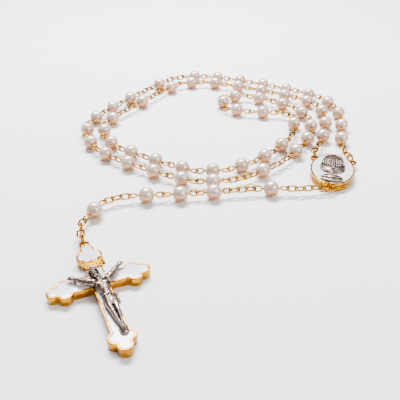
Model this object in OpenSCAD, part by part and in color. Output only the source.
// Five-decade rosary laid flat: oval centre medal, doubled bead loop, short tail and crucifix.
// Every bead turns on its own pin, and the pins, links and rings hook through each other.

/* [Beads] */
// Diameter of each pearl bead
bead_d = 5; // [4.5:0.25:6]
// Clearance round a pin in its bead
bore_play = 0.05; // [0.03:0.01:0.1]

/* [Pins and links] */
// Thickness of the wire
wire_d = 0.55; // [0.45:0.05:0.65]
// Outer width of every eye and link
loop_w = 2.4; // [2.2:0.1:3]
// Outer length of the eye at each end of a pin
eye_l = 3.1; // [2.8:0.1:3.8]
// Bare pin between a bead and its eye
neck_l = 0.25; // [0.15:0.05:0.6]
// Outer length of a chain link
link_l = 3.8; // [3.2:0.1:4.6]
// Gap between two wires that hook each other
hook_play = 0.1; // [0.08:0.01:0.14]
// Gap between the two eyes that meet where the loop is open
open_gap = 0.6; // [0.4:0.1:1.5]

/* [Jump rings] */
// Outer diameter of a jump ring
ring_d = 4.2; // [4:0.1:5]
// Thickness of its wire
ring_wire = 0.6; // [0.5:0.05:0.7]

/* [Centre medal] */
// Width of the oval
medal_w = 14.4; // [12:0.2:18]
// Length of the oval
medal_l = 19.4; // [16:0.2:24]
// Thickness from back to face
medal_h = 3; // [2.6:0.1:3.6]
// Width of the rim round the enamel
medal_rim = 0.45; // [0.3:0.05:0.8]
// Depth of the enamel in its tray
enamel_t = 0.5; // [0.3:0.05:0.8]
// Length of the chalice from its foot to the top of the host
chalice_l = 16.8; // [12:0.2:18]
// Height of the chalice above the enamel
chalice_t = 0.9; // [0.5:0.1:1.4]

/* [Cast loops] */
// Outer diameter of the loops cast on the medal and the crucifix
lug_d = 3; // [2.8:0.1:3.6]
// Hole through each loop
lug_hole = 1.8; // [1.7:0.05:2]
// Thickness of each loop
lug_t = 0.9; // [0.7:0.05:1.1]

/* [Crucifix] */
// Length from the crossing to the top
top_arm = 15; // [13:0.5:19]
// Length from the crossing to the foot
foot_arm = 24.5; // [22:0.5:32]
// Length from the crossing to each side
side_arm = 13.5; // [12:0.5:17]
// Width of the shaft and the crossbar
bar_w = 4.4; // [3.8:0.1:5.6]
// Radius of each round bud at the ends
bud_r = 1.95; // [1.5:0.05:2.5]
// Thickness from back to face
cross_h = 2.6; // [2.4:0.1:3.4]
// Width of the rim round the enamel
cross_rim = 0.5; // [0.3:0.05:0.6]
// Length of the figure from its crown to its toes
corpus_l = 22; // [17:0.5:24]
// Width of the blank title scroll
scroll_w = 5.4; // [4.6:0.2:8]
// Height of the scroll's middle above the crossing
scroll_y = 6.2; // [5.6:0.2:8]

/* [Layout] */
// Distance between the two rows of the doubled loop
row_gap = 6.2; // [5.8:0.1:9]

/* [Hidden] */
$fn = 48;
seat_play = 0.03;      // gap round each enamel panel in its tray
axis_z = bead_d/2;     // height of the bead holes above the table
loop_r = (loop_w - wire_d)/2;                        // centre line of a round loop end
hook = wire_d + hook_play;                           // distance between two hooked wires
ring_r = (ring_d - ring_wire)/2;
ring_hook = (wire_d + ring_wire)/2 + hook_play;
bead_half = bead_d/2 + neck_l + eye_l - wire_d/2;    // bead centre to the far bar of its eye
link_half = (link_l - wire_d)/2;
lug_z = 1.9;           // middle of the cast loops
lug_out = 1;           // centre of a cast loop outside the edge it grows from
ring_in_lug = 0.2;     // a ring's wire past the centre of the hole it hangs in

BEAD = 1;
LINK = 0;
function times(n, what) = [for (i = [1:n]) what];
decade = times(10, BEAD);
gap = times(3, LINK);
first_leg = concat(gap, decade, gap, [BEAD], gap, decade, gap, [BEAD], gap);
left_kinds = concat(first_leg, times(7, BEAD));
right_kinds = concat(first_leg, times(3, BEAD));
tail_kinds = concat(times(4, LINK), [BEAD], gap, times(3, BEAD), gap, [BEAD], gap);

// Middle line of the doubled loop from the medal to the turn at its far end: x, y, half the width
drawn_gap = 6;         // distance between the rows as the route is drawn
pair_route = [
  [1.5, 10, 6], [3.5, 20, 3], [6.5, 31, 3], [8, 42, 3], [5, 53, 3], [-4, 60, 3], [-15, 65.5, 3],
  [-26, 70.5, 3], [-37, 74.5, 3], [-48, 76, 3], [-57, 71, 3], [-64, 62, 3], [-71, 52.5, 3],
  [-78, 43, 3], [-83, 33, 3], [-82, 22, 3], [-75, 12.5, 3], [-65, 6, 3], [-55, 0, 3],
  [-44, -4.5, 3], [-33, -3, 3], [-23, 3, 3], [-14.5, 11.5, 3], [-8, 21.5, 3], [-4.5, 32, 3],
  [-6, 42, 3], [-14, 47, 4.5], [-22, 49.5, 6.5], [-30, 51.5, 7]
];
pair_tip = [-38, 54];
// The tail from the medal to the crucifix
tail_route = [
  [-7, -11], [-13, -11.5], [-21, -11], [-31, -12], [-41, -13.5], [-51, -14.5], [-61, -15],
  [-68, -16], [-73.5, -19], [-76.5, -24], [-77.8, -29], [-77.6, -33], [-76, -38], [-70.2, -51]
];

medal_up = 76;         // heading of the medal's top
left_lug = [180 - 41, 85];     // where a cast loop sits round the oval, and its ring's heading
right_lug = [41, 100];
foot_lug = [-90, 186];

function along(a) = [cos(a), sin(a)];
function heading(v) = atan2(v[1], v[0]);
function last(v) = v[len(v) - 1];
function flat3(p, z) = [p[0], p[1], z];

// ---------- Where everything lies ----------

// Place of a cast loop on the medal: its angle round the oval, lug_out past the edge
function edge_at(a) = [medal_w/2*cos(a), medal_l/2*sin(a)];
function edge_out(a) = let (n = [cos(a)/medal_w, sin(a)/medal_l]) n/norm(n);
function turned(p, a) = [p[0]*cos(a) - p[1]*sin(a), p[0]*sin(a) + p[1]*cos(a)];
function lug_at(lug) = turned(edge_at(lug[0]) + lug_out*edge_out(lug[0]), medal_up - 90);
ring_reach = ring_in_lug + sqrt(pow(ring_r, 2) - pow(axis_z - lug_z, 2));
function ring_at(lug) = lug_at(lug) + ring_reach*along(lug[1]);
// First pivot of the chain that hangs in a medal ring
function chain_start(lug) = ring_at(lug) + (ring_r + loop_r - ring_hook)*along(lug[1]);

// Planes alternate: a bead's two eyes are square to each other, a link lies in one plane
function links_before(kinds, i) = i == 0 ? 0 : links_before(kinds, i - 1) + (kinds[i - 1] == LINK ? 1 : 0);
function near_flat(kinds, i) = links_before(kinds, i) % 2 == 0;
function far_flat(kinds, i) = kinds[i] == LINK ? near_flat(kinds, i) : !near_flat(kinds, i);
function half_of(kind) = kind == BEAD ? bead_half : link_half;
// From the middle of a piece to the pivot at one end: the centre of whichever loop lies flat
function reach(half, flat) = flat ? half - loop_r : half + loop_r - hook;
function spans(kinds) = [for (i = [0:len(kinds) - 1])
  reach(half_of(kinds[i]), near_flat(kinds, i)) + reach(half_of(kinds[i]), far_flat(kinds, i))];

// Smooth curve through points, at u points from the first
function curve(p, u) = let (
    n = len(p),
    i = max(0, min(n - 2, floor(u))),
    t = u - i,
    a = p[max(0, i - 1)], b = p[i], c = p[i + 1], d = p[min(n - 1, i + 2)]
  ) 0.5*(2*b + (c - a)*t + (2*a - 5*b + 4*c - d)*t*t + (3*b - a - 3*c + d)*t*t*t);
function narrow(p, lo, hi, from, span, n) = let (mid = (lo + hi)/2)
  n == 0 ? mid
  : norm(curve(p, mid) - from) < span ? narrow(p, mid, hi, from, span, n - 1)
  : narrow(p, lo, mid, from, span, n - 1);
function seek(p, u, from, span, step) =
  norm(curve(p, u + step) - from) >= span ? narrow(p, u, u + step, from, span, 14)
  : seek(p, u + step, from, span, step);
// Pivots of a chain laid along a curve, each one span from the last
function walk(p, spans, u, step, i = 0) = i == len(spans) ? [u]
  : concat([u], walk(p, spans, seek(p, u, curve(p, u), spans[i], step), step, i + 1));

// The two rows of the doubled loop as one curve, grown or shrunk so that the beads just fill it
function route_point(i, side, size) = let (
    n = len(pair_route),
    a = pair_route[max(0, i - 1)], b = pair_route[min(n - 1, i + 1)], c = pair_route[i],
    w = c[2]*row_gap/drawn_gap, h = heading([b[0] - a[0], b[1] - a[1]])
  ) size*([c[0], c[1]] + side*w*along(h + 90));
function loop_route(size) = let (n = len(pair_route)) concat(
  [chain_start(left_lug)],
  [for (i = [1:n - 1]) route_point(i, 1, size)],
  [size*pair_tip],
  [for (i = [n - 1:-1:1]) route_point(i, -1, size)],
  [chain_start(right_lug)]);
function left_walk(p) = walk(p, spans(left_kinds), 0, 0.1);
function right_walk(p) = walk(p, spans(right_kinds), len(p) - 1, -0.1);
open_span = loop_w + open_gap;
function fitted(size, n) = n == 0 ? size : let (
    p = loop_route(size), a = last(left_walk(p)), b = last(right_walk(p)),
    d = norm(curve(p, b) - curve(p, a)),
    spare = (b - a) - abs(b - a)*open_span/d
  ) fitted(size*(1 - spare/len(p)), n - 1);
layout_size = fitted(1, 8);

loop_curve = loop_route(layout_size);
left_pivots = [for (u = left_walk(loop_curve)) curve(loop_curve, u)];
right_pivots = [for (u = right_walk(loop_curve)) curve(loop_curve, u)];
tail_curve = concat([chain_start(foot_lug)],
  [for (i = [1:len(tail_route) - 1]) layout_size*tail_route[i]]);
tail_pivots = [for (u = walk(tail_curve, spans(tail_kinds), 0, 0.1)) curve(tail_curve, u)];

LEFT = [left_kinds, left_pivots];
RIGHT = [right_kinds, right_pivots];
TAIL = [tail_kinds, tail_pivots];

// The crucifix hangs from the last link of the tail
cross_heading = heading(curve(tail_curve, len(tail_curve) - 1) - last(tail_pivots));
cross_ring = last(tail_pivots) + (ring_r + loop_r - ring_hook)*along(cross_heading);
cross_lug = cross_ring + ring_reach*along(cross_heading);
crossing = cross_lug + (lug_out + top_arm)*along(cross_heading);

// Bodies of the chain: name, chain, first and last piece
loop_bodies = [
  ["decade_1_a", LEFT, 0, 5], ["decade_1_b", LEFT, 6, 9], ["decade_1_c", LEFT, 10, 12],
  ["our_father_1", LEFT, 13, 16],
  ["decade_2_a", LEFT, 17, 22], ["decade_2_b", LEFT, 23, 26], ["decade_2_c", LEFT, 27, 29],
  ["our_father_2", LEFT, 30, 33],
  ["decade_3_a", LEFT, 34, 39], ["decade_3_b", LEFT, 40, 43],
  ["decade_3_c", RIGHT, 34, 39],
  ["our_father_3", RIGHT, 30, 33],
  ["decade_4_a", RIGHT, 27, 29], ["decade_4_b", RIGHT, 23, 26], ["decade_4_c", RIGHT, 17, 22],
  ["our_father_4", RIGHT, 13, 16],
  ["decade_5_a", RIGHT, 10, 12], ["decade_5_b", RIGHT, 6, 9], ["decade_5_c", RIGHT, 0, 5]
];
tail_bodies = [
  ["tail_1", TAIL, 0, 4], ["tail_2", TAIL, 5, 8], ["tail_3", TAIL, 9, 9],
  ["tail_4", TAIL, 10, 10], ["tail_5", TAIL, 11, 14]
];
chain_bodies = concat(loop_bodies, tail_bodies);

// ---------- Beads, pins and links ----------

module at_piece(chain, i) {
  a = chain[1][i];
  h = heading(chain[1][i + 1] - a);
  near = reach(half_of(chain[0][i]), near_flat(chain[0], i));
  translate(flat3(a + near*along(h), axis_z)) rotate([0, 0, h]) children();
}

module pearl() {
  rotate([0, 90, 0]) rotate_extrude() intersection() {
    circle(d = bead_d);
    translate([wire_d/2 + bore_play, -bead_d]) square([bead_d, 2*bead_d]);
  }
}

// Closed wire loop with straight sides and round ends, in the XY plane, along X
module wire_loop(length) {
  side = length/2 - loop_w/2;
  for (s = [-1, 1]) {
    translate([s*side, 0, 0]) rotate([0, 0, -s*90])
      rotate_extrude(angle = 180) translate([loop_r, 0]) circle(d = wire_d, $fn = 24);
    translate([-side, s*loop_r, 0]) rotate([0, 90, 0]) cylinder(d = wire_d, h = 2*side, $fn = 24);
  }
}

module laid(flat) {
  rotate([flat ? 0 : 90, 0, 0]) children();
}

module eye_pin(near, far) {
  shaft = bead_d + 2*neck_l + wire_d;
  rotate([0, 90, 0]) cylinder(d = wire_d, h = shaft, center = true, $fn = 24);
  eye_x = bead_d/2 + neck_l + eye_l/2;
  translate([-eye_x, 0, 0]) laid(near) wire_loop(eye_l);
  translate([eye_x, 0, 0]) laid(far) wire_loop(eye_l);
}

module beads_of(body) {
  color("ivory") for (i = [body[2]:body[3]]) if (body[1][0][i] == BEAD) at_piece(body[1], i) pearl();
}

module chain_pieces(chain, first, end) {
  for (i = [first:end]) at_piece(chain, i) {
    if (chain[0][i] == BEAD) eye_pin(near_flat(chain[0], i), far_flat(chain[0], i));
    else laid(near_flat(chain[0], i)) wire_loop(link_l);
  }
}

module wire_of(body) {
  color("goldenrod") chain_pieces(body[1], body[2], body[3]);
}

module jump_ring(place, h) {
  color("goldenrod") translate(flat3(place, axis_z)) rotate([0, 0, h]) rotate([90, 0, 0])
    rotate_extrude() translate([ring_r, 0]) circle(d = ring_wire, $fn = 24);
}

// Solid loop with a hole, its stem reaching back along -X
module cast_lug(stem) {
  stem_w = lug_d*0.7;
  translate([0, 0, lug_z - lug_t/2]) difference() {
    union() {
      cylinder(d = lug_d, h = lug_t);
      translate([-stem, -stem_w/2, 0]) cube([stem, stem_w, lug_t]);
    }
    translate([0, 0, -lug_t]) cylinder(d = lug_hole, h = 3*lug_t);
  }
}

// ---------- Centre medal ----------

// Oval of four arcs, drawn in by an even inset
end_round = 0.76;      // radius of the small arcs, as a share of half the width
module oval(inset) {
  a = medal_l/2;
  b = medal_w/2;
  r = b*end_round;
  big = (pow(a - r, 2) + b*b - r*r)/(2*(b - r));
  join_y = (a - r)*big/(big - r);
  intersection() {
    square([2*medal_l, 2*join_y], center = true);
    translate([big - b, 0]) circle(r = big - inset, $fn = 180);
    translate([b - big, 0]) circle(r = big - inset, $fn = 180);
  }
  for (s = [-1, 1]) translate([0, s*(a - r)]) circle(r = r - inset, $fn = 90);
}

module on_medal() {
  rotate([0, 0, medal_up - 90]) children();
}

module medal_case() {
  seam = 0.2;
  color("goldenrod") {
    on_medal() difference() {
      union() {
        linear_extrude(medal_h/2 - seam/2) oval(0);
        linear_extrude(medal_h/2 + seam) oval(seam/2);
        translate([0, 0, medal_h/2 + seam/2]) linear_extrude(medal_h/2 - seam/2) oval(0);
      }
      translate([0, 0, medal_h - enamel_t]) linear_extrude(enamel_t + 1) oval(medal_rim);
    }
    for (lug = [left_lug, right_lug, foot_lug])
      translate(flat3(lug_at(lug), 0))
        rotate([0, 0, heading(edge_out(lug[0])) + medal_up - 90])
          cast_lug(lug_out + medal_rim);
  }
}

module medal_enamel() {
  color("white") on_medal() translate([0, 0, medal_h - enamel_t])
    linear_extrude(enamel_t) oval(medal_rim + seat_play);
}

// A round of the chalice cut straight across: the bowl keeps its lower half, the foot its upper
module half_round(r, y, side, height) {
  intersection() {
    translate([0, y, 0]) cylinder(r = r, h = height);
    translate([-r, side > 0 ? y : y - r, 0]) cube([2*r, r, height]);
  }
}

// Drawn 16.8 long: oval foot, stem and knop, wide bowl and the tall host above its brim
module medal_chalice() {
  drawn_l = 16.8;
  foot_y = -7;
  foot_r = 3.6;
  foot_h = 1.7;          // half the oval's short way
  knop_y = -4;
  knop_r = 1.6;
  stem_w = 2;
  brim_y = 1.8;
  bowl_r = 4.1;
  host_y = 4.6;
  host_r = 3.5;
  arc_r = (foot_r*foot_r + foot_h*foot_h)/(2*foot_h);
  color("silver") on_medal() translate([0, 0, medal_h]) scale([1, 1, 1]*chalice_l/drawn_l) {
    t = chalice_t*drawn_l/chalice_l;
    intersection_for(s = [-1, 1]) translate([0, foot_y + s*(arc_r - foot_h), 0])
      cylinder(r = arc_r, h = t*0.7);
    translate([-stem_w/2, foot_y, 0]) cube([stem_w, brim_y - foot_y, t*0.8]);
    translate([0, knop_y, 0]) cylinder(r = knop_r, h = t*0.9);
    half_round(bowl_r, brim_y, -1, t);
    translate([-host_r, brim_y, 0]) cube([2*host_r, host_y - brim_y, t*0.85]);
    half_round(host_r, host_y, 1, t*0.85);
  }
}

// ---------- Crucifix ----------

module on_cross() {
  translate(flat3(crossing, 0)) rotate([0, 0, cross_heading + 90]) children();
}

// One arm along +Y with three round buds at its end
bud_set = 2.3;         // side buds back from the tip, in bud radii
bud_out = 0.8;         // side buds out from the middle line, in bud radii
module budded_arm(length, inset) {
  side_y = length - bud_r*bud_set;
  translate([-bar_w/2 + inset, -bar_w/2 + inset]) square([bar_w - 2*inset, side_y + bar_w/2]);
  translate([0, length - bud_r]) circle(r = bud_r - inset);
  translate([0, side_y]) circle(r = bud_r - inset);
  for (s = [-1, 1]) translate([s*bud_out*bud_r, side_y]) circle(r = bud_r - inset);
}

module cross_outline(inset) {
  budded_arm(top_arm, inset);
  rotate(180) budded_arm(foot_arm, inset);
  for (s = [-90, 90]) rotate(s) budded_arm(side_arm, inset);
}

module cross_frame() {
  color("goldenrod") on_cross() {
    difference() {
      linear_extrude(cross_h) cross_outline(0);
      translate([0, 0, cross_h - enamel_t]) linear_extrude(enamel_t + 1) cross_outline(cross_rim);
    }
    translate([0, top_arm + lug_out, 0]) rotate([0, 0, 90]) cast_lug(lug_out + cross_rim);
  }
}

module cross_enamel() {
  color("white") on_cross() translate([0, 0, cross_h - enamel_t])
    linear_extrude(enamel_t) cross_outline(cross_rim + seat_play);
}

// Two balls joined by a smooth skin
module limb(from, to, r1, r2) {
  hull() {
    translate(from) sphere(r = r1, $fn = 20);
    translate(to) sphere(r = r2, $fn = 20);
  }
}

// Simple figure drawn 21 long: head, raised arms, body, cloth and joined legs, on the enamel
module corpus() {
  drawn_l = 21;
  raised = 1.1;          // the whole figure sits this much further up
  head = [-0.9, 0, 1.6];
  head_r = 1.6;
  neck = [-0.2, -3.4, 1];
  chest = [1.5, -3, 0.7];
  waist = [0.9, -7.2, 0.6];
  shoulder = [1.7, -2.7, 0.85];
  hand = [6.5, 2, 0.75];
  hip = [1.1, -9.3, 0.9];
  ankle = [0.5, -17.7, 0.5];
  sole_y = -19.4;
  color("gray") on_cross() translate([0, raised, cross_h]) scale(corpus_l/drawn_l) intersection() {
    translate([-drawn_l, -2*drawn_l, 0]) cube([2*drawn_l, 3*drawn_l, drawn_l]);
    union() {
      translate(head) sphere(r = head_r);
      limb(head, neck, 0.9, 0.75);
      for (s = [-1, 1])
        limb([s*shoulder[0], shoulder[1], shoulder[2]], [s*hand[0], hand[1], hand[2]], 0.95, 0.75);
      hull() for (s = [-1, 1]) {
        translate([s*chest[0], chest[1], chest[2]]) sphere(r = 1.05, $fn = 20);
        translate([s*waist[0], waist[1], waist[2]]) sphere(r = 1, $fn = 20);
      }
      hull() for (s = [-1, 1], y = [waist[1] - 0.5, hip[1]])
        translate([s*hip[0], y, hip[2]]) sphere(r = 1.1, $fn = 20);
      hull() for (s = [-1, 1]) {
        translate([s*hip[0]*0.9, hip[1] - 0.3, hip[2]]) sphere(r = 0.9, $fn = 20);
        translate([s*ankle[0], ankle[1], ankle[2]]) sphere(r = 0.65, $fn = 20);
      }
      translate([-1.1, sole_y, 0]) cube([2.2, ankle[1] - sole_y + 0.4, 0.85]);
    }
  }
}

module title_scroll() {
  scroll_h = 2.9;
  scroll_t = 0.5;
  roll_over = 0.4;       // the rolled ends stand past the sheet by this much in all
  color("goldenrod") on_cross() translate([0, scroll_y, cross_h]) {
    translate([-scroll_w/2, -scroll_h/2, 0]) cube([scroll_w, scroll_h, scroll_t]);
    for (s = [-1, 1]) translate([s*scroll_w/2, 0, scroll_t]) rotate([90, 0, 0])
      cylinder(d = 2*scroll_t, h = scroll_h + roll_over, center = true);
  }
}

module crucifix_links() {
  color("goldenrod") chain_pieces(TAIL, 15, 17);
}

medal_case();
medal_enamel();
medal_chalice();
jump_ring(ring_at(left_lug), left_lug[1]);  // ring_left
jump_ring(ring_at(right_lug), right_lug[1]);  // ring_right
jump_ring(ring_at(foot_lug), foot_lug[1]);  // ring_foot
for (b = chain_bodies) {
  beads_of(b);
  wire_of(b);
}
crucifix_links();
jump_ring(cross_ring, cross_heading);  // crucifix_ring
cross_frame();
cross_enamel();
corpus();
title_scroll();
